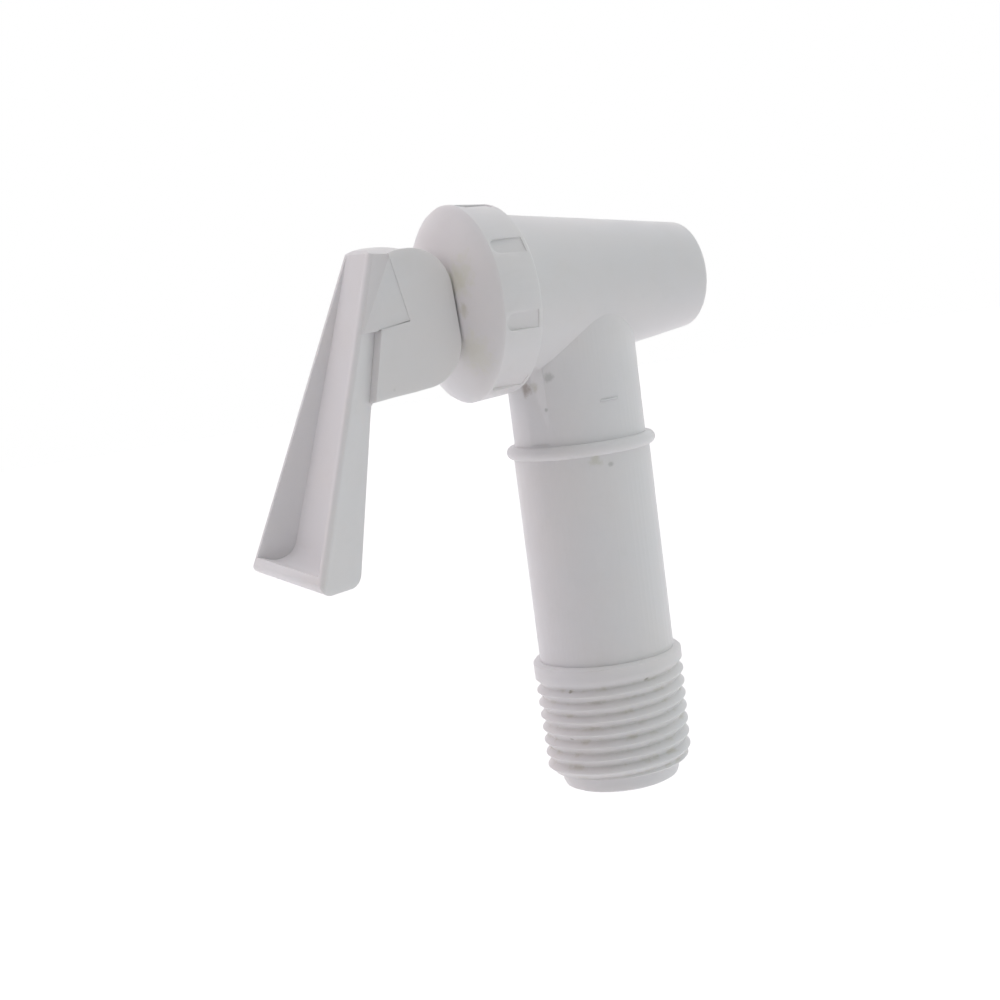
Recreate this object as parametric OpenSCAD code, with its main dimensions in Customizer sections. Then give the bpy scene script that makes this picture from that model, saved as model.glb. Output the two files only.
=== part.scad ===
/* [Barrel] */
// Height of the barrel axis above the seating face of the shank shoulder
barrel_axis_z = 54.6; // [48:0.1:64]
// Distance from the shank axis to the spout's open end
spout_x = 19.5; // [17:0.1:30]
// Radius of the barrel just behind the bonnet
barrel_root_r = 11.4; // [11:0.1:12]
// Radius of the spout at its open end
spout_end_r = 7.45; // [7.2:0.05:9]
// Radius of the spout's outlet bore
outlet_r = 5.2; // [4.6:0.1:5.6]

/* [Shank] */
// Radius of the shank above its bead
upper_shank_r = 9.15; // [8.6:0.05:9.4]
// Radius of the shank below its bead
shank_r = 9.5; // [9:0.05:9.8]
// Depth of the bead's middle below the barrel axis
bead_drop = 21.4; // [20:0.1:26]
// Outer radius of the bead
bead_r = 10.4; // [10:0.05:11]
// Radius of the shoulder and of the thread's crests
thread_r = 10.48; // [10.3:0.01:10.6]
// Height of the shoulder above the thread
shoulder_h = 3.6; // [2:0.1:5]
// Length of the threaded stretch
thread_len = 12.4; // [10:0.1:20]
// Radius of the plain pilot below the thread
pilot_r = 8.25; // [7.5:0.05:9]
// Length of the plain pilot
pilot_len = 2.4; // [2:0.1:6]
// Radius of the inlet bore up through the shank
inlet_r = 5.4; // [4.5:0.1:5.8]

/* [Bonnet] */
// Distance from the shank axis to the bonnet's rear rim
bonnet_back = 10.5; // [10.5:0.1:12]
// Length of the gripped band
band_len = 6.2; // [5:0.1:8]
// Radius of the band at the rear rim
band_back_r = 12.75; // [12.6:0.05:13]
// Radius of the band at its front edge
band_front_r = 13.2; // [13.1:0.05:13.6]
// Length of the front beyond the band, from its rim to its face
dome_len = 2.75; // [2.55:0.1:3.95]
// Radius where the steep ring behind the band's edge meets the flatter front
ring_r = 11.65; // [10.5:0.05:12.2]
// Number of grip notches round the band
grip_count = 8; // [6:1:12]
// Width of one grip notch
grip_w = 2.3; // [1.5:0.1:3]

/* [Handle] */
// Swivel of the handle about the barrel axis, as it stands at rest
swivel_deg = 2.3; // [-5:0.1:5]
// Lean of the lever's front face away from the shank
lever_lean = 21.4; // [15:0.1:25]
// Half width of the lever at its top edge
lever_top_half = 4.42; // [4:0.02:4.8]
// Widening of each side for each millimetre down the front face
lever_flare = 0.18; // [0.1:0.01:0.2]
// Depth of the lever's tip below the barrel axis
tip_drop = 32.6; // [28:0.05:36]
// Radius along the front edges of the lever's sides
front_edge_r = 0.7; // [0.3:0.05:0.8]
// Radius of the tip's edge below the finger tray
tip_edge_r = 1.3; // [1:0.1:2]
// Width of the rim beside the finger tray, to the side's unrounded edge
tray_rim = 1.4; // [1:0.05:2]
// Depth gained by the tray for each millimetre down the front face
tray_slope = 0.104; // [0.05:0.001:0.106]

/* [Valve] */
// Distance from the shank axis to the valve seat
seat_x = 6; // [5.8:0.1:6.5]
// Radius of the water chamber
chamber_r = 7.4; // [7:0.1:7.6]
// Radius of the valve stem
stem_r = 3; // [2.8:0.05:3.1]
// Radius of the handle pin
pin_r = 1.5; // [1.2:0.05:1.6]
// Distance from the shank axis to the handle pin
pin_x = 25; // [24.5:0.1:25.5]
// Radius of the spring wire
wire_r = 0.45; // [0.3:0.05:0.5]
// Number of working turns in the spring
spring_turns = 6; // [4:1:7]

/* [Hidden] */
$fn = 96;

// Axial places along the barrel, negative towards the handle
neck_r = 10.4;
neck_end = -(bonnet_back + 5.9);
flange_t = 1.2;
bonnet_wall = neck_end - flange_t;
bonnet_face = -(bonnet_back + band_len + dome_len);
face_flat_r = 7.4;
guide_r = stem_r + 0.07;
washer_t = 0.8;
washer_x = bonnet_wall + 0.03;
hub_back = bonnet_face - 0.3;
hub_half = 6.2;
head_half = 5.85;
hub_flare = 0.138;
stem_end = -(pin_x + stem_r);
thread_end = -thread_len;
shank_end = thread_end - pilot_len;
lever_x = -30.16;
lever_z = 8;
side_draft = 19.7;
back_slope = 0.268;
pin_from = -4.9;
pin_to = 5.75;

// Turns a profile of [radius, x] points about the barrel axis
module turned(points) {
    translate([0, 0, barrel_axis_z])
        rotate([0, 90, 0])
            rotate_extrude()
                polygon(points);
}

// Points of an arc about a centre, from one angle to another
function arc(c, r, from, to, steps = 8) =
    [for (i = [0:steps]) let (a = from + (to - from) * i / steps) c + r * [cos(a), sin(a)]];

// Stands local coordinates on the lever's front face: x goes in, z goes up along the face
module on_front_face() {
    translate([lever_x, 0, lever_z])
        rotate([0, lever_lean, 0])
            children();
}

// Extrudes a [y, z] outline along x from one place to another
module along_x(from, to) {
    translate([from, 0, 0])
        rotate([90, 0, 90])
            linear_extrude(to - from)
                children();
}

// Extrudes an [x, z] outline to both sides of the middle plane
module across(half) {
    translate([0, half, 0])
        rotate([90, 0, 0])
            linear_extrude(2 * half)
                children();
}

// Carries the parts that swivel with the handle to the barrel axis
module at_handle() {
    translate([0, 0, barrel_axis_z])
        rotate([swivel_deg, 0, 0])
            children();
}

module body_outside() {
    spout_edge = 0.8;
    turned(concat(
        [[0, neck_end], [neck_r - 0.5, neck_end], [neck_r, neck_end + 0.5],
         [neck_r, 0.2 - bonnet_back], [barrel_root_r, 0.2 - bonnet_back]],
        arc([spout_end_r - spout_edge, spout_x - spout_edge], spout_edge, 8, 90, 6),
        [[0, spout_x]]));
    shank_top = barrel_axis_z;
    bead_z = barrel_axis_z - bead_drop;
    bead_half = 0.9;
    shoulder_chamfer = 0.35;
    flat_turn = 203.5;
    flat_depth = 0.17;
    groove_depth = 0.75;
    groove_h = 0.65;
    difference() {
        rotate_extrude()
            polygon(concat(
                [[0, shank_top], [upper_shank_r, shank_top], [upper_shank_r, bead_z + bead_half]],
                arc([bead_r - bead_half, bead_z], bead_half, 90, -90, 8),
                [[shank_r, bead_z - bead_half], [shank_r, shoulder_h],
                 [thread_r - shoulder_chamfer, shoulder_h], [thread_r, shoulder_h - shoulder_chamfer],
                 [thread_r, groove_h], [thread_r - groove_depth, groove_h / 5],
                 [thread_r - groove_depth, 0], [thread_r, 0], [thread_r, thread_end + 0.6],
                 [thread_r - 0.6, thread_end], [pilot_r, thread_end]],
                arc([pilot_r - 0.8, shank_end + 0.8], 0.8, 0, -90, 6),
                [[0, shank_end]]));
        rotate([0, 0, flat_turn])
            translate([upper_shank_r - flat_depth, -4, bead_z + bead_half + 0.4])
                cube([2, 8, 30]);
    }
}

module body() {
    seat_r = 4;
    seat_t = 1.6;
    seat_lip = 0.5;
    inlet_top = barrel_axis_z - chamber_r - 3.2;
    color("white")
        difference() {
            body_outside();
            turned([[0, neck_end - 1], [chamber_r, neck_end - 1], [chamber_r, seat_x + seat_lip],
                    [seat_r + 1.2, seat_x + seat_lip], [seat_r + 0.6, seat_x], [seat_r, seat_x],
                    [seat_r, seat_x + seat_t], [outlet_r, seat_x + seat_t + 1.2],
                    [outlet_r, spout_x + 1], [0, spout_x + 1]]);
            rotate_extrude()
                polygon([[0, shank_end - 1], [inlet_r, shank_end - 1], [inlet_r, inlet_top],
                         [inlet_r - 1.2, inlet_top + 1.5], [inlet_r - 1.2, barrel_axis_z],
                         [0, barrel_axis_z]]);
        }
}

// One grip notch: a slot with a round front end, cut straight to a depth set by its floor radius
module grip_notch() {
    floor_r = 12.62;
    front = -(bonnet_back + band_len - 0.5) + grip_w / 2;
    translate([front, 0, floor_r])
        cylinder(r = grip_w / 2, h = 3);
    translate([front, -grip_w / 2, floor_r])
        cube([-front - bonnet_back - 0.7, grip_w, 3]);
}

module bonnet() {
    notch_phase = 13;
    rim_edge = 0.3;
    dome_r = 16;
    edge = [band_front_r, -(bonnet_back + band_len)];
    front = [ring_r, edge[1] - 1];
    face = [face_flat_r, bonnet_face];
    chord = norm(face - front);
    middle = (face + front) / 2;
    inward = [face[1] - front[1], front[0] - face[0]] / chord;
    centre = middle + inward * sqrt(dome_r * dome_r - chord * chord / 4);
    a0 = atan2(front[1] - centre[1], front[0] - centre[0]);
    a1 = atan2(face[1] - centre[1], face[0] - centre[0]);
    color("whitesmoke")
        difference() {
            turned(concat(
                [[neck_r + 0.1, -bonnet_back], [band_back_r - rim_edge, -bonnet_back],
                 [band_back_r, -bonnet_back - rim_edge], edge - [0, 0.02 - rim_edge],
                 edge - [0.25, 0.1]],
                arc(centre, dome_r, a0, a1, 8),
                [[guide_r, bonnet_face], [guide_r, bonnet_wall], [neck_r + 0.1, bonnet_wall]]));
            for (i = [0:grip_count - 1])
                translate([0, 0, barrel_axis_z])
                    rotate([notch_phase + i * 360 / grip_count, 0, 0])
                        grip_notch();
        }
}

module seat_cup() {
    wall_in = 5.2;
    wall_out = 6.2;
    floor_x = -1.5;
    nose_r = 5.6;
    color("gainsboro")
        turned([[wall_in, bonnet_wall], [neck_r - 0.2, bonnet_wall], [neck_r - 0.2, neck_end],
                [wall_out + 0.6, neck_end], [wall_out, neck_end + 0.6], [wall_out, floor_x - 1],
                [wall_out - 1.4, floor_x + 1.6], [nose_r, seat_x - 2.4], [nose_r, seat_x - 0.8],
                [nose_r - 0.8, seat_x], [0, seat_x], [0, 3.1], [2.25, 3.1], [2.25, floor_x],
                [wall_in, floor_x]]);
}

module thrust_washer() {
    color("silver")
        turned([[stem_r + 0.3, washer_x], [4.9, washer_x], [4.9, washer_x + washer_t],
                [stem_r + 0.3, washer_x + washer_t]]);
}

// The spring's centre line: closed end turns and open turns between them
spring_from = washer_x + washer_t + wire_r + 0.02;
spring_to = -3.02 - wire_r;
spring_mean_r = 4;
end_pitch = 2 * wire_r + 0.04;
function spring_x(t) =
    let (total = spring_turns + 2, open = (spring_to - spring_from - 2 * end_pitch) / spring_turns)
        t < 1 ? spring_from + t * end_pitch
        : t > total - 1 ? spring_to - (total - t) * end_pitch
        : spring_from + end_pitch + (t - 1) * open;

module spring() {
    steps = 20;
    sides = 8;
    rings = (spring_turns + 2) * steps;
    function ring(i) =
        let (a = 360 * i / steps, x = spring_x(i / steps))
            [for (k = [0:sides - 1]) let (b = 360 * k / sides, r = spring_mean_r + wire_r * cos(b))
                [x + wire_r * sin(b), r * cos(a), r * sin(a)]];
    points = [for (i = [0:rings]) each ring(i)];
    skin = [for (i = [0:rings - 1], k = [0:sides - 1]) let (n = (k + 1) % sides)
        [i * sides + k, i * sides + n, (i + 1) * sides + n, (i + 1) * sides + k]];
    caps = [[for (k = [sides - 1:-1:0]) k], [for (k = [0:sides - 1]) rings * sides + k]];
    color("lightsteelblue")
        translate([0, 0, barrel_axis_z])
            polyhedron(points, concat(skin, caps));
}

module stem() {
    flat_half = 2.5;
    color("ghostwhite")
        at_handle()
            difference() {
                translate([0, 0, -barrel_axis_z])
                    turned([[0, stem_end], [stem_r - 0.5, stem_end], [stem_r, stem_end + 0.5],
                            [stem_r, -3], [4.7, -3], [4.7, -1.6], [2.2, -1.6], [2.2, 2.6],
                            [1.8, 3], [0, 3]]);
                for (side = [-1, 1])
                    translate([stem_end - 1, side > 0 ? flat_half : -flat_half - 2, -5])
                        cube([8, 2, 10]);
                translate([-pin_x, 5, 0])
                    rotate([90, 0, 0])
                        cylinder(r = pin_r, h = 10);
            }
}

module handle_pin() {
    color("silver")
        at_handle()
            translate([-pin_x, pin_to, 0])
                rotate([90, 0, 0])
                    cylinder(r = pin_r, h = pin_to - pin_from);
}

// Half width of the lever at a place along its front face, measured up from the top edge
function lever_half(z) = lever_top_half - lever_flare * z;

// Where the lever's back runs at a height from the barrel axis
function back_x(z) = -33.5 + back_slope * (z + 11);

// Everything to one side of a flat that leans by an angle and passes a little beside the lever's edge
module flank(side, lean, shift = 0) {
    rotate([0, 0, side * lean])
        along_x(-18, 26)
            polygon([for (p = [[-22, 4], [cos(lean) * (lever_half(4) + shift), 4],
                               [cos(lean) * (lever_half(-48) + shift), -48], [-22, -48]])
                [side * p[0], p[1]]]);
}

// The lever: both sides draw in towards its back, and their front edges are rounded in four flats
module lever() {
    corner = 90 - side_draft;
    inset = front_edge_r / tan(corner / 2);
    lean = lever_lean;
    tip_z = tip_edge_r - tip_drop;
    tip_x = lever_x + tan(lean) * (tip_z - lever_z) + tip_edge_r / cos(lean);
    heel_r = 1.9;
    heel_z = heel_r - tip_drop;
    heel_x = back_x(heel_z) - heel_r * norm([1, back_slope]);
    intersection() {
        on_front_face()
            intersection() {
                intersection_for (side = [-1, 1])
                    flank(side, -side_draft);
                intersection_for (side = [-1, 1], a = [92, 114, 136, 158])
                    flank(side, a - 90, front_edge_r * (1 + cos(a)) / sin(a) - inset);
                translate([0, -20, -60])
                    cube([20, 40, 70]);
            }
        across(15)
            polygon(concat(
                arc([tip_x, tip_z], tip_edge_r, 180 - lean, 270, 8),
                arc([heel_x, heel_z], heel_r, 270, 360 - atan(back_slope), 6),
                [[back_x(-1.6), -1.6], [-29, -1.2], [-29, 8.8], [-29.6, 8.62], [-30.15, 8.1],
                 [-50, 8.1], [-50, tip_z]]));
        head_crown();
    }
}

// Everything within two side planes, given by half their spacing at the barrel axis, that part downwards
module between(half) {
    along_x(-40, -15)
        polygon([for (p = [[1, 12], [1, -14], [-1, -14], [-1, 12]])
            [p[0] * (half - hub_flare * p[1]), p[1]]]);
}

// Section of the lever and head across the barrel: the top is crowned
module head_crown() {
    crown_r = 12;
    along_x(-52, -15)
        union() {
            translate([0, 8.84 - crown_r])
                circle(r = crown_r, $fn = 120);
            translate([-16, -60])
                square([32, 62]);
        }
}

// The head joins the lever's top to the hub, its sides spreading from the lever's rounded edges
module head() {
    intersection() {
        across(9)
            polygon([[-33.38, -1.6], [-31.1, -1.55], [-26.6, -0.75], [-24, -0.6], [-24, 7.9], [-24.8, 8],
                     [-25.3, 8.2], [-25.8, 8.45], [-26.5, 8.66], [-27.3, 8.8], [-28.2, 8.85], [-29, 8.8],
                     [-29.58, 8.62], [-29.58, 8.1]]);
        between(head_half);
        head_crown();
        on_front_face()
            intersection_for (side = [-1, 1])
                flank(side, 20, -0.4);
    }
}

// The hub: a flat-sided rocker with large round corners, so that it rolls on the bonnet's face
module hub() {
    intersection() {
        across(9)
            polygon(concat(
                [[-33.65, -10.35], [-32.8, -10.24], [-30.4, -10], [-27.6, -9.8]],
                arc([hub_back - 6.2, -3.4], 6.2, 272, 360, 14),
                arc([hub_back - 5.45, 2.9], 5.45, 0, 90, 14),
                [[-26.95, 8.27], [-27.9, 8], [-26.5, -0.83], [-31.05, -1.45]]));
        between(hub_half);
    }
    across(6.3)
        polygon([[-33.6, -11], [-33.1, -10.5], [-32.4, -10.25], [-31.8, -9], [-33.2, -9]]);
}

// The finger tray: no depth at the top, deepest near the tip, where its floor sweeps up to the edge
module tray() {
    wall_lean = 24;
    zero_z = 0.3;
    end_z = -41.05;
    sweep_r = 2.75;
    sweep_z = end_z + sweep_r + 0.1;
    sweep_x = tray_slope * (zero_z - sweep_z) - sweep_r * norm([1, tray_slope]);
    out = 0.8;
    on_front_face()
        intersection() {
            across(16)
                polygon(concat(
                    [[-out, end_z - out * tan(10)], [-out, zero_z + out / tray_slope]],
                    arc([sweep_x, sweep_z], sweep_r, atan(tray_slope), -100, 12)));
            intersection_for (side = [-1, 1])
                flank(side, -wall_lean, -tray_rim);
        }
}

// Hollow at the hub's back for the stem's head, and the pin's hole, blind on the near side
module hub_pocket() {
    pocket_half_y = 3.3;
    floor_x = stem_end - 1.2;
    across(pocket_half_y)
        polygon([[floor_x, -5.2], [floor_x, 5.2], [hub_back + 1, 5.2], [hub_back + 1, -6.45]]);
    translate([-pin_x, 9, 0])
        rotate([90, 0, 0])
            cylinder(r = pin_r + 0.05, h = 9 - pin_from + 0.3);
}

module handle() {
    color("white")
        at_handle()
            difference() {
                union() {
                    lever();
                    head();
                    hub();
                }
                tray();
                hub_pocket();
            }
}

body();
bonnet();
seat_cup();
thrust_washer();
spring();
stem();
handle_pin();
handle();
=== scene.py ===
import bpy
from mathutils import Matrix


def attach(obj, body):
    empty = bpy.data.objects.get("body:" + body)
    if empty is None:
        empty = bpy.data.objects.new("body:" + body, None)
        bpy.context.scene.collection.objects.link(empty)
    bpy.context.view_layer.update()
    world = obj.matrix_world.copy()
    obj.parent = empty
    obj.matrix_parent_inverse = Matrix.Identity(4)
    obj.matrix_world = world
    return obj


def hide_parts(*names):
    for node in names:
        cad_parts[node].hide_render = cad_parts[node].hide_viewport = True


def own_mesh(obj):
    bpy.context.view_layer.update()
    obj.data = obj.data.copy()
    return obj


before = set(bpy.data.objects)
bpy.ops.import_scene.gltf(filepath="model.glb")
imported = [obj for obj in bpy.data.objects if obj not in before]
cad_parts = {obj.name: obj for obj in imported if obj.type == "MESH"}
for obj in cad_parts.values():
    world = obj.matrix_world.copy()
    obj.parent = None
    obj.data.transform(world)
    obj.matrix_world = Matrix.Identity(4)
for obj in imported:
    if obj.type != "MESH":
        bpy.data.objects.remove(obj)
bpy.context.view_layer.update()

import math

import bmesh
import bpy
from mathutils import Matrix, Vector

MM = 0.001

# Sizes shared with the solids, in millimetres
BARREL_Z = 54.6
SWIVEL_DEG = 2.3
UPPER_SHANK_R = 9.15
THREAD_R = 10.48
THREAD_LEN = 12.4
PILOT_R = 8.25
PILOT_LEN = 2.4
INLET_R = 5.4
THREAD_PITCH = 1.814


def mm(x, y, z):
    return Vector((x, y, z)) * MM


# Camera, at the photograph's viewing angle

def make_camera():
    lens = bpy.data.cameras.new("photo_camera")
    lens.sensor_width = 36.0
    lens.lens = 63.773
    lens.shift_x = -0.01004
    lens.shift_y = 0.00763
    lens.clip_start = 0.01
    lens.clip_end = 10.0
    camera = bpy.data.objects.new("photo_camera", lens)
    bpy.context.collection.objects.link(camera)
    turn = Vector((1.62932127, -0.521984883, 0.268309523))
    to_camera = Matrix.Rotation(turn.length, 3, turn.normalized())
    right, down, forward = to_camera[0], to_camera[1], to_camera[2]
    axes = Matrix((right, -down, -forward)).transposed()
    camera.matrix_world = Matrix.Translation(mm(-125.148, -211.338, 3.813 + BARREL_Z)) @ axes.to_4x4()
    bpy.context.scene.camera = camera


make_camera()


# Ways to wire shader nodes

class Shader:
    """A material's or the world's node tree, with short ways to add nodes and wire them."""

    def __init__(self, tree):
        self.tree = tree
        self.links = tree.links

    def node(self, kind, **settings):
        made = self.tree.nodes.new(kind)
        for key, value in settings.items():
            setattr(made, key, value)
        return made

    def put(self, socket, value):
        if isinstance(value, bpy.types.NodeSocket):
            self.links.new(value, socket)
        else:
            socket.default_value = value

    def maths(self, operation, a, b=0.0, c=0.0, clamp=False):
        made = self.node("ShaderNodeMath", operation=operation, use_clamp=clamp)
        for socket, value in zip(made.inputs, (a, b, c)):
            self.put(socket, value)
        return made.outputs[0]

    def vector(self, operation, a, b=(0, 0, 0)):
        made = self.node("ShaderNodeVectorMath", operation=operation)
        self.put(made.inputs[0], a)
        self.put(made.inputs[1], b)
        plain = operation in ("DOT_PRODUCT", "LENGTH", "DISTANCE")
        return made.outputs["Value" if plain else "Vector"]

    def ramp(self, value, low, high, at_low=0.0, at_high=1.0):
        made = self.node("ShaderNodeMapRange", interpolation_type="SMOOTHSTEP")
        self.put(made.inputs["Value"], value)
        made.inputs["From Min"].default_value = low
        made.inputs["From Max"].default_value = high
        made.inputs["To Min"].default_value = at_low
        made.inputs["To Max"].default_value = at_high
        return made.outputs[0]

    def noise(self, place, scale, detail=2.0, roughness=0.5):
        made = self.node("ShaderNodeTexNoise")
        self.put(made.inputs["Vector"], place)
        made.inputs["Scale"].default_value = scale
        made.inputs["Detail"].default_value = detail
        made.inputs["Roughness"].default_value = roughness
        return made.outputs["Fac"]

    def stretched(self, place, scale):
        made = self.node("ShaderNodeMapping")
        self.put(made.inputs["Vector"], place)
        made.inputs["Scale"].default_value = scale
        return made.outputs[0]

    def mix(self, share, a, b):
        made = self.node("ShaderNodeMix", data_type="RGBA")
        self.put(made.inputs[0], share)
        self.put(made.inputs[6], a)
        self.put(made.inputs[7], b)
        return made.outputs[2]


# Soft light tent: brightest at the sides and overhead, dimmer where the camera stands and opposite it.
# For red, green and blue: the even level, then how it leans along x, y and z. Then how much the tent
# brightens towards both ends of a line.

TENT_LEVELS = ((0.719, (-0.091, 0.089, -0.134)),
               (0.719, (-0.036, 0.032, -0.169)),
               (0.734, (-0.036, 0.075, -0.160)))
TENT_ENDS = ((-0.739, (0.729, 0.673, -0.125)),
             (0.008, (-0.671, 0.738, 0.067)),
             (0.631, (0.138, 0.035, 0.990)))


def make_light_tent():
    world = bpy.data.worlds.new("light_tent")
    bpy.context.scene.world = world
    world.use_nodes = True
    shader = Shader(world.node_tree)
    world.node_tree.nodes.clear()
    place = shader.node("ShaderNodeTexCoord").outputs["Generated"]
    ends = None
    for amount, line in TENT_ENDS:
        along = shader.vector("DOT_PRODUCT", place, line)
        ends = shader.maths("MULTIPLY_ADD", shader.maths("MULTIPLY", along, along), amount, 0.0 if ends is None else ends)
    colour = shader.node("ShaderNodeCombineColor")
    for socket, (even, lean) in zip(colour.inputs, TENT_LEVELS):
        level = shader.maths("ADD", shader.vector("DOT_PRODUCT", place, lean), even)
        shader.put(socket, shader.maths("MAXIMUM", shader.maths("ADD", level, ends), 0.0))
    soft = shader.node("ShaderNodeBackground")
    shader.put(soft.inputs["Color"], colour.outputs[0])
    white = shader.node("ShaderNodeBackground")
    white.inputs["Color"].default_value = (1, 1, 1, 1)
    white.inputs["Strength"].default_value = 1.0
    path = shader.node("ShaderNodeLightPath")
    plain = shader.maths("ADD", path.outputs["Is Camera Ray"], path.outputs["Is Glossy Ray"], clamp=True)
    plain = shader.maths("ADD", plain, path.outputs["Is Transmission Ray"], clamp=True)
    both = shader.node("ShaderNodeMixShader")
    shader.put(both.inputs[0], plain)
    shader.links.new(soft.outputs[0], both.inputs[1])
    shader.links.new(white.outputs[0], both.inputs[2])
    out = shader.node("ShaderNodeOutputWorld")
    shader.links.new(both.outputs[0], out.inputs["Surface"])


def make_lamp(name, place, size, power):
    lamp = bpy.data.lights.new(name, "AREA")
    lamp.size = size
    lamp.energy = power
    holder = bpy.data.objects.new(name, lamp)
    bpy.context.collection.objects.link(holder)
    holder.location = place
    aim = mm(0, 0, 25) - Vector(place)
    holder.rotation_mode = "QUATERNION"
    holder.rotation_quaternion = aim.to_track_quat("-Z", "Y")


make_light_tent()
make_lamp("left_softbox", (-0.5, 0.3, 0.35), 0.4, 0.25)


# Finishes

def white_moulding(name, stains_and_painted_light=(), thread_dirt=False, grain=0.2):
    """White plastic as it leaves a worn mould: satin, faintly clouded, with handling dirt and listed patches:
    stains on body and handle, painted light and shade on the bonnet.
    """
    material = bpy.data.materials.new(name)
    material.use_nodes = True
    shader = Shader(material.node_tree)
    surface = material.node_tree.nodes["Principled BSDF"]
    place = shader.node("ShaderNodeTexCoord").outputs["Object"]
    cloud = shader.noise(place, 70, 3)
    colour = shader.mix(shader.ramp(cloud, 0.3, 0.75), (0.80, 0.80, 0.814, 1), (0.815, 0.80, 0.80, 1))
    handled = shader.noise(place, 230, 4, 0.65)
    colour = shader.mix(shader.ramp(handled, 0.5, 0.8, 0.0, 0.18), colour, (0.70, 0.70, 0.68, 1))
    gloss = shader.ramp(shader.noise(place, 180, 3), 0.3, 0.7, 0.33, 0.45)
    dents = None
    # Each patch paints a colour over a ragged disc: real stains and specks on body and handle, painted light and
    # shade on the bonnet beside the hub.
    for index, (spot, radius, tint, strength, depth) in enumerate(stains_and_painted_light):
        ragged = shader.maths("MULTIPLY_ADD", shader.noise(place, 900 + 37 * index, 3), 1.6 * radius * MM,
                              -0.8 * radius * MM)
        reach = shader.maths("ADD", shader.vector("DISTANCE", place, tuple(mm(*spot))), ragged)
        mask = shader.ramp(reach, 0.2 * radius * MM, radius * MM, strength, 0.0)
        colour = shader.mix(mask, colour, tuple(tint) + (1,))
        if depth:
            dent = shader.maths("MULTIPLY", mask, -depth)
            dents = dent if dents is None else shader.maths("ADD", dents, dent)
    if thread_dirt:
        apart = shader.node("ShaderNodeSeparateXYZ")
        shader.put(apart.inputs[0], place)
        flat = shader.vector("MULTIPLY", place, (1, 1, 0))
        radius = shader.vector("LENGTH", flat)
        deep = shader.ramp(radius, 9.55 * MM, 10.1 * MM, 1.0, 0.0)
        deep = shader.maths("MULTIPLY", deep, shader.ramp(apart.outputs["Z"], 1.2 * MM, 1.8 * MM, 1.0, 0.0))
        deep = shader.maths("MULTIPLY", deep, shader.ramp(apart.outputs["Z"], -12.4 * MM, -11.8 * MM))
        patchy = shader.ramp(shader.noise(place, 420, 3, 0.6), 0.48, 0.68, 0.10, 0.55)
        colour = shader.mix(shader.maths("MULTIPLY", deep, patchy), colour, (0.60, 0.575, 0.49, 1))
    shader.put(surface.inputs["Base Color"], colour)
    shader.put(surface.inputs["Roughness"], gloss)
    fine = shader.noise(place, 2600, 2)
    flow = shader.noise(shader.stretched(place, (1.0, 1.0, 0.25)), 700, 2)
    height = shader.maths("MULTIPLY_ADD", fine, 0.10, shader.maths("MULTIPLY", flow, 0.22))
    height = shader.maths("ADD", height, shader.noise(place, 110, 1))
    if dents is not None:
        height = shader.maths("ADD", height, dents)
    bump = shader.node("ShaderNodeBump")
    bump.inputs["Strength"].default_value = grain
    bump.inputs["Distance"].default_value = 0.00012
    shader.put(bump.inputs["Height"], height)
    shader.put(surface.inputs["Normal"], bump.outputs[0])
    surface.inputs["Specular IOR Level"].default_value = 0.45
    surface.inputs["Subsurface Weight"].default_value = 0.35
    surface.inputs["Subsurface Radius"].default_value = (1.0, 0.95, 0.9)
    surface.inputs["Subsurface Scale"].default_value = 0.8 * MM
    return material


def milky_silicone():
    material = bpy.data.materials.new("silicone")
    material.use_nodes = True
    shader = Shader(material.node_tree)
    surface = material.node_tree.nodes["Principled BSDF"]
    place = shader.node("ShaderNodeTexCoord").outputs["Object"]
    cloud = shader.ramp(shader.noise(place, 160, 3), 0.3, 0.7)
    shader.put(surface.inputs["Base Color"], shader.mix(cloud, (0.66, 0.68, 0.68, 1), (0.72, 0.73, 0.72, 1)))
    shader.put(surface.inputs["Roughness"], shader.ramp(shader.noise(place, 500, 2), 0.3, 0.7, 0.45, 0.6))
    bump = shader.node("ShaderNodeBump")
    bump.inputs["Strength"].default_value = 0.15
    bump.inputs["Distance"].default_value = 0.0001
    shader.put(bump.inputs["Height"], shader.noise(place, 900, 2))
    shader.put(surface.inputs["Normal"], bump.outputs[0])
    return material


def drawn_steel():
    material = bpy.data.materials.new("stainless")
    material.use_nodes = True
    shader = Shader(material.node_tree)
    surface = material.node_tree.nodes["Principled BSDF"]
    surface.inputs["Metallic"].default_value = 1.0
    place = shader.node("ShaderNodeTexCoord").outputs["Object"]
    streaks = shader.noise(shader.stretched(place, (1.0, 6.0, 6.0)), 500, 3)
    shader.put(surface.inputs["Base Color"],
               shader.mix(shader.ramp(streaks, 0.3, 0.7), (0.56, 0.56, 0.55, 1), (0.66, 0.66, 0.65, 1)))
    shader.put(surface.inputs["Roughness"], shader.ramp(streaks, 0.3, 0.7, 0.22, 0.38))
    bump = shader.node("ShaderNodeBump")
    bump.inputs["Strength"].default_value = 0.1
    bump.inputs["Distance"].default_value = 0.00005
    shader.put(bump.inputs["Height"], streaks)
    shader.put(surface.inputs["Normal"], bump.outputs[0])
    return material


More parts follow.
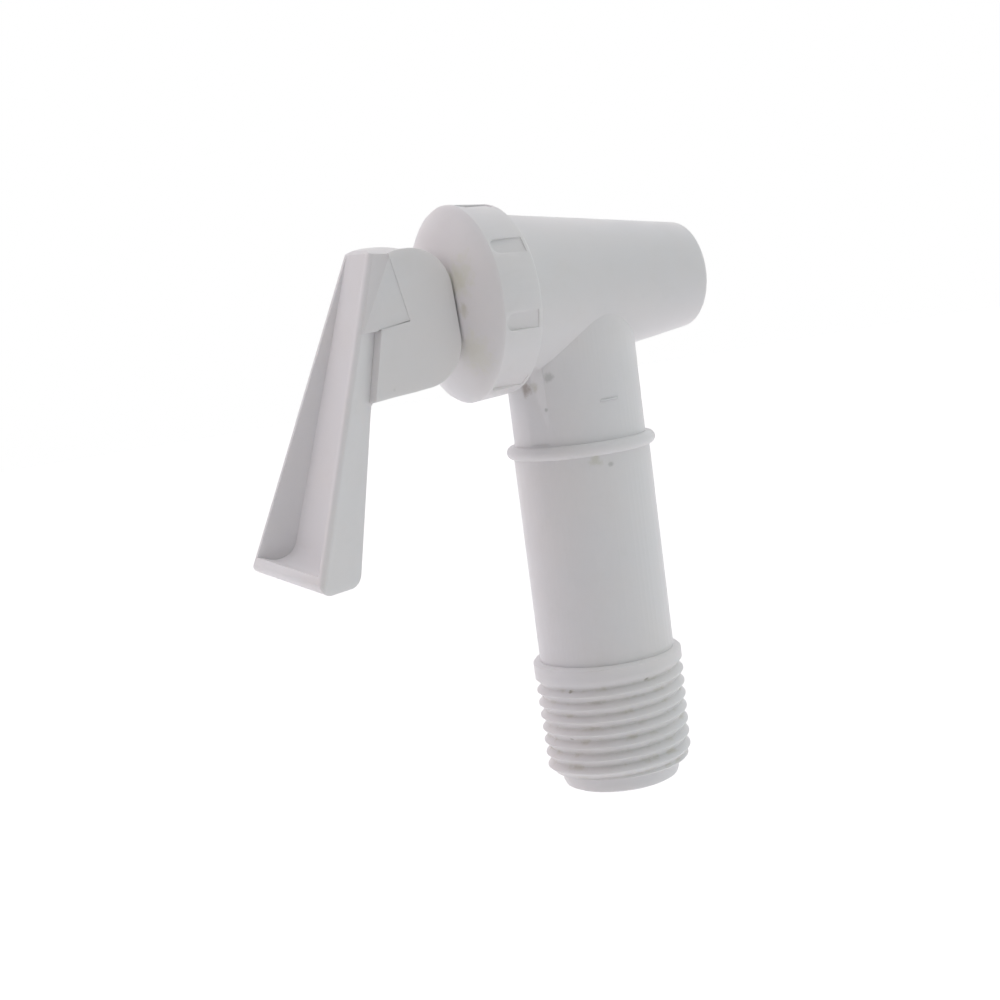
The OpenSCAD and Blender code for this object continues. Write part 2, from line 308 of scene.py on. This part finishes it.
BROWN = (0.40, 0.345, 0.315)
YELLOW_GREY = (0.545, 0.53, 0.455)
GREEN_GREY = (0.42, 0.43, 0.41)
BODY_STAINS = (
    ((-8.85, -2.3, 41.9), 1.15, BROWN, 0.75, 0),
    ((-8.35, -3.75, 42.5), 0.95, YELLOW_GREY, 0.6, 0),
    ((-7.1, -5.8, 43.5), 0.9, GREEN_GREY, 0.5, 0),
    ((-7.68, -4.98, 39.17), 0.35, GREEN_GREY, 0.6, 1),
    ((-1.29, -9.41, 30.9), 0.5, GREEN_GREY, 0.5, 2),
    ((-3.27, -8.92, 31.63), 1.1, (0.60, 0.60, 0.50), 0.45, 0),
    ((-8.75, -4.0, 0.1), 0.5, (0.36, 0.34, 0.28), 0.8, 0),
    ((0.03, -9.75, 1.0), 0.45, (0.36, 0.34, 0.30), 0.8, 0),
    ((-9.1, -3.3, -6.3), 0.5, (0.38, 0.36, 0.32), 0.8, 0),
)
# Bonnet: a pale cream tint with darker yellowish cores on the bonnet's face beside the hub. This is painted light
# and shade: the face lies in the hub's shadow there and glows warm where light comes through the plastic.
BONNET_PAINTED_LIGHT_AND_SHADE = (
    ((-19.2, -6.5, 57.6), 2.0, (0.62, 0.60, 0.47), 0.75, 0),
    ((-19.3, -7.4, 54.0), 1.3, (0.60, 0.58, 0.48), 0.6, 0),
    ((-18.9, -7.6, 48.9), 1.5, (0.64, 0.63, 0.55), 0.5, 0),
    ((-19.0, -6.9, 58.2), 3.6, (0.77, 0.77, 0.69), 0.7, 0),
    ((-18.6, -7.6, 48.2), 3.8, (0.79, 0.785, 0.725), 0.8, 0),
)
HANDLE_STAINS = (
    ((-30.4, -7.4, 45.2), 0.45, (0.42, 0.42, 0.42), 0.6, 0),
    ((-30.9, -12.0, 31.0), 0.3, (0.5, 0.5, 0.48), 0.4, 0),
)
BODY_WHITE = white_moulding("white_moulding_body", BODY_STAINS, thread_dirt=True)
BONNET_WHITE = white_moulding("white_moulding_bonnet", BONNET_PAINTED_LIGHT_AND_SHADE)
HANDLE_WHITE = white_moulding("white_moulding_handle", HANDLE_STAINS, grain=0.28)
STEM_WHITE = white_moulding("stem_moulding")
SILICONE = milky_silicone()
STEEL = drawn_steel()


# Pieces

def merged_copy(name, flatten=True):
    """The solid of a node with its loose triangles welded and its flat faces made whole again."""
    bm = bmesh.new()
    bm.from_mesh(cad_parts[name].data)
    bmesh.ops.remove_doubles(bm, verts=bm.verts, dist=1e-6)
    if flatten:
        bmesh.ops.dissolve_limit(bm, angle_limit=math.radians(0.4), verts=bm.verts, edges=bm.edges)
    bmesh.ops.recalc_face_normals(bm, faces=bm.faces)
    return bm


def make_piece(name, bm, body, node, material, sharp=28):
    mesh = bpy.data.meshes.new(name)
    bm.to_mesh(mesh)
    bm.free()
    piece = bpy.data.objects.new(name, mesh)
    bpy.context.collection.objects.link(piece)
    mesh.materials.append(material)
    for polygon in mesh.polygons:
        polygon.use_smooth = True
    mesh.set_sharp_from_angle(angle=math.radians(sharp))
    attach(piece, body)
    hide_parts(node)
    return piece


def soften_edges(piece, width, segments=2, angle=28):
    """Small radii along the moulding's edges."""
    bevel = piece.modifiers.new("edge_radii", "BEVEL")
    bevel.width = width * MM
    bevel.segments = segments
    bevel.limit_method = "ANGLE"
    bevel.angle_limit = math.radians(angle)
    bevel.use_clamp_overlap = True
    bevel.harden_normals = False
    return bevel


def rim_edges(bm, z):
    """The open edges left at a height by a cut, sorted into the outer rim and the inner one."""
    rims = [edge for edge in bm.edges if edge.is_boundary]
    outer = [edge for edge in rims if edge.verts[0].co.xy.length > 8 * MM]
    return outer, [edge for edge in rims if edge.verts[0].co.xy.length <= 8 * MM]


def pull_rim(bm, rim, radius, z):
    """Extends an open rim to a new radius and height."""
    made = bmesh.ops.extrude_edge_only(bm, edges=rim)["geom"]
    verts = [item for item in made if isinstance(item, bmesh.types.BMVert)]
    now = verts[0].co.xy.length
    bmesh.ops.scale(bm, verts=verts, vec=(radius * MM / now, radius * MM / now, 1))
    bmesh.ops.translate(bm, verts=verts, vec=(0, 0, z * MM - verts[0].co.z))
    return [item for item in made if isinstance(item, bmesh.types.BMEdge)]


def shank_with_plain_end():
    """The body with its stand-in groove cut off and the threaded end drawn down again."""
    bm = merged_copy("body", flatten=False)
    bmesh.ops.bisect_plane(bm, geom=bm.verts[:] + bm.edges[:] + bm.faces[:], dist=1e-7,
                           plane_co=mm(0, 0, 2.2), plane_no=(0, 0, 1), clear_inner=True)
    outer, inner = rim_edges(bm, 2.2)
    end = -THREAD_LEN
    for radius, z in ((THREAD_R, end + 0.7), (THREAD_R - 0.7, end), (PILOT_R, end - 0.12),
                      (PILOT_R, end - 1.5), (PILOT_R - 0.25, end - 2.1), (PILOT_R - 0.85, end - PILOT_LEN)):
        outer = pull_rim(bm, outer, radius, z)
    inner = pull_rim(bm, inner, INLET_R, end - PILOT_LEN)
    bmesh.ops.bridge_loops(bm, edges=outer + inner)
    bmesh.ops.remove_doubles(bm, verts=bm.verts, dist=1e-7)
    bmesh.ops.recalc_face_normals(bm, faces=bm.faces)
    return bm


def thread_groove():
    """The groove of the right-handed thread, as a coiled bar that runs out at the back."""
    top_turn = 425.0
    turns = 8.3
    steps = int(turns * 80)
    z_top = 0.157 + THREAD_PITCH * (top_turn - 149) / 360
    bm = bmesh.new()
    section = [(THREAD_R - 0.80, -0.10), (THREAD_R - 0.80, 0.08), (THREAD_R + 0.25, 1.06), (THREAD_R + 0.25, -1.08)]
    corners = [bm.verts.new(mm(r, 0, z_top + z)) for r, z in section]
    face = bm.faces.new(corners)
    bmesh.ops.rotate(bm, verts=bm.verts, cent=(0, 0, 0), matrix=Matrix.Rotation(math.radians(top_turn), 3, "Z"))
    bmesh.ops.spin(bm, geom=bm.verts[:] + bm.edges[:] + [face], cent=(0, 0, 0), axis=(0, 0, 1),
                   dvec=mm(0, 0, -THREAD_PITCH * turns / steps), angle=-math.radians(360 * turns),
                   steps=steps, use_merge=False)
    for vert in bm.verts:
        angle = math.degrees(math.atan2(vert.co.y, vert.co.x)) - (top_turn - 360)
        started = -angle if vert.co.z > (z_top - 0.9) * MM and -40 <= angle <= 0.01 else 40
        if started < 40:
            lift = 0.9 * MM * (1 - started / 40) ** 1.5
            out = 1 + lift / vert.co.xy.length
            vert.co.x *= out
            vert.co.y *= out
    bmesh.ops.remove_doubles(bm, verts=bm.verts, dist=1e-8)
    bmesh.ops.recalc_face_normals(bm, faces=bm.faces)
    return bm


def moulding_mark():
    """The short raised line left by the mould on the upper shank."""
    bm = bmesh.new()
    bmesh.ops.create_circle(bm, cap_ends=True, segments=10, radius=0.17 * MM)
    bmesh.ops.rotate(bm, verts=bm.verts, cent=(0, 0, 0), matrix=Matrix.Rotation(math.radians(90), 3, "X"))
    bmesh.ops.translate(bm, verts=bm.verts, vec=mm(UPPER_SHANK_R + 0.0, 0, 39.5))
    bmesh.ops.rotate(bm, verts=bm.verts, cent=(0, 0, 0), matrix=Matrix.Rotation(math.radians(261), 3, "Z"))
    bmesh.ops.spin(bm, geom=bm.verts[:] + bm.edges[:] + bm.faces[:], cent=(0, 0, 0), axis=(0, 0, 1),
                   dvec=mm(0, 0, 0.012), angle=math.radians(16.5), steps=8, use_merge=False)
    bmesh.ops.recalc_face_normals(bm, faces=bm.faces)
    return bm


def add_shape(bm, shape):
    """Puts another closed shape in the same mesh."""
    mesh = bpy.data.meshes.new("added")
    shape.to_mesh(mesh)
    shape.free()
    bm.from_mesh(mesh)
    bpy.data.meshes.remove(mesh)


def carve(bm, tool, operation):
    """Adds or takes away a tool's shape."""
    objects = []
    for name, shape in (("carved", bm), ("tool", tool)):
        mesh = bpy.data.meshes.new(name)
        shape.to_mesh(mesh)
        shape.free()
        objects.append(bpy.data.objects.new(name, mesh))
        bpy.context.collection.objects.link(objects[-1])
    cut = objects[0].modifiers.new("cut", "BOOLEAN")
    cut.operation = operation
    cut.solver = "EXACT"
    cut.object = objects[1]
    graph = bpy.context.evaluated_depsgraph_get()
    done = bmesh.new()
    done.from_mesh(objects[0].evaluated_get(graph).to_mesh())
    for thing in objects:
        mesh = thing.data
        bpy.data.objects.remove(thing)
        bpy.data.meshes.remove(mesh)
    return done


def make_body():
    bm = carve(shank_with_plain_end(), thread_groove(), "DIFFERENCE")
    for vert in bm.verts:
        if vert.co.z < 0 and vert.co.xy.length > (PILOT_R + 0.3) * MM:
            narrower = 1 - 0.29 / THREAD_R * min(1.0, -vert.co.z / (THREAD_LEN * MM))
            vert.co.x *= narrower
            vert.co.y *= narrower
    bmesh.ops.remove_doubles(bm, verts=bm.verts, dist=2e-6)
    add_shape(bm, moulding_mark())
    bmesh.ops.recalc_face_normals(bm, faces=bm.faces)
    make_piece("body_moulding", bm, "housing", "body", BODY_WHITE, sharp=16)


def make_bonnet():
    piece = make_piece("bonnet_moulding", merged_copy("bonnet"), "housing", "bonnet", BONNET_WHITE)
    soften_edges(piece, 0.22)


def head_half(height):
    """Half width of the handle's head at a height from the barrel axis."""
    return 5.85 * MM - 0.138 * height


def on_hub_side(place):
    """Whether a corner lies in the plane of either of the hub's sides."""
    return abs(abs(place.y) - (6.2 * MM - 0.138 * place.z)) < 0.03 * MM


def on_hub_front(place):
    """Whether a corner of the hub's side is on its front edge, beside the lever's back."""
    return on_hub_side(place) and abs(place.x + 31.05 * MM - 0.292 * (place.z + 1.45 * MM)) < 0.1 * MM


def slope_hub_front(bm, axis):
    """Slopes the front of the hub's sides towards the lever's, in place of most of the square step."""
    sides = [face for face in bm.faces if all(on_hub_side(vert.co - axis) for vert in face.verts)]
    edges = {edge for face in sides for edge in face.edges}
    verts = {vert for face in sides for vert in face.verts}
    bmesh.ops.bisect_plane(bm, geom=list(verts) + list(edges) + sides, dist=1e-7,
                           plane_co=axis + mm(-31.05 + 0.4, 0, -1.45), plane_no=(8.9, 0, -2.6))
    for vert in bm.verts:
        if on_hub_front(vert.co - axis):
            vert.co.y -= math.copysign(0.85 * MM, vert.co.y)


def make_handle():
    """The head's sides stand almost flush with the hub's."""
    bm = merged_copy("handle")
    upright = Matrix.Rotation(math.radians(-SWIVEL_DEG), 3, "X")
    axis = mm(0, 0, BARREL_Z)
    bmesh.ops.rotate(bm, verts=bm.verts, cent=axis, matrix=upright)
    slope_hub_front(bm, axis)
    for vert in bm.verts:
        height = vert.co.z - axis.z
        if height > -2.2 * MM and abs(abs(vert.co.y) - head_half(height)) < 0.03 * MM:
            vert.co.y += math.copysign(0.24 * MM, vert.co.y)
    bmesh.ops.rotate(bm, verts=bm.verts, cent=axis, matrix=upright.inverted())
    bmesh.ops.recalc_face_normals(bm, faces=bm.faces)
    piece = make_piece("handle_moulding", bm, "lever_handle", "handle", HANDLE_WHITE)
    soften_edges(piece, 0.18)


def make_squeezed(name, node, body, material):
    """A piece made from its node's solid as it stands, given a mesh of its own."""
    piece = make_piece(name, merged_copy(node, flatten=False), body, node, material)
    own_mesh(piece)


make_body()
make_bonnet()
make_handle()
make_squeezed("closing_spring", "spring", "swivel_carrier", STEEL)
make_squeezed("seat_bell", "seat_cup", "housing", SILICONE)

CARRIED_OVER = {"stem": STEM_WHITE, "thrust_washer": STEEL, "handle_pin": STEEL}
for name, material in CARRIED_OVER.items():
    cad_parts[name].data.materials.clear()
    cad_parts[name].data.materials.append(material)


# Floor: how strongly it glows to the camera, and as a light

FLOOR_SEEN = 0.45
FLOOR_GLOW = 0.12


def make_floor():
    bm = bmesh.new()
    bmesh.ops.create_grid(bm, x_segments=1, y_segments=1, size=1.5)
    bmesh.ops.translate(bm, verts=bm.verts, vec=mm(0, 0, -70))
    mesh = bpy.data.meshes.new("floor")
    bm.to_mesh(mesh)
    bm.free()
    floor = bpy.data.objects.new("floor", mesh)
    bpy.context.collection.objects.link(floor)
    material = bpy.data.materials.new("pale_floor")
    material.use_nodes = True
    shader = Shader(material.node_tree)
    surface = material.node_tree.nodes["Principled BSDF"]
    surface.inputs["Base Color"].default_value = (0.85, 0.85, 0.85, 1)
    surface.inputs["Roughness"].default_value = 0.9
    surface.inputs["Emission Color"].default_value = (1, 1, 1, 1)
    path = shader.node("ShaderNodeLightPath")
    seen = shader.maths("ADD", path.outputs["Is Camera Ray"], path.outputs["Is Glossy Ray"], clamp=True)
    seen = shader.maths("ADD", seen, path.outputs["Is Transmission Ray"], clamp=True)
    shader.put(surface.inputs["Emission Strength"], shader.maths("MULTIPLY_ADD", seen, FLOOR_SEEN - FLOOR_GLOW, FLOOR_GLOW))
    mesh.materials.append(material)


make_floor()

bpy.context.scene.view_settings.view_transform = "Standard"
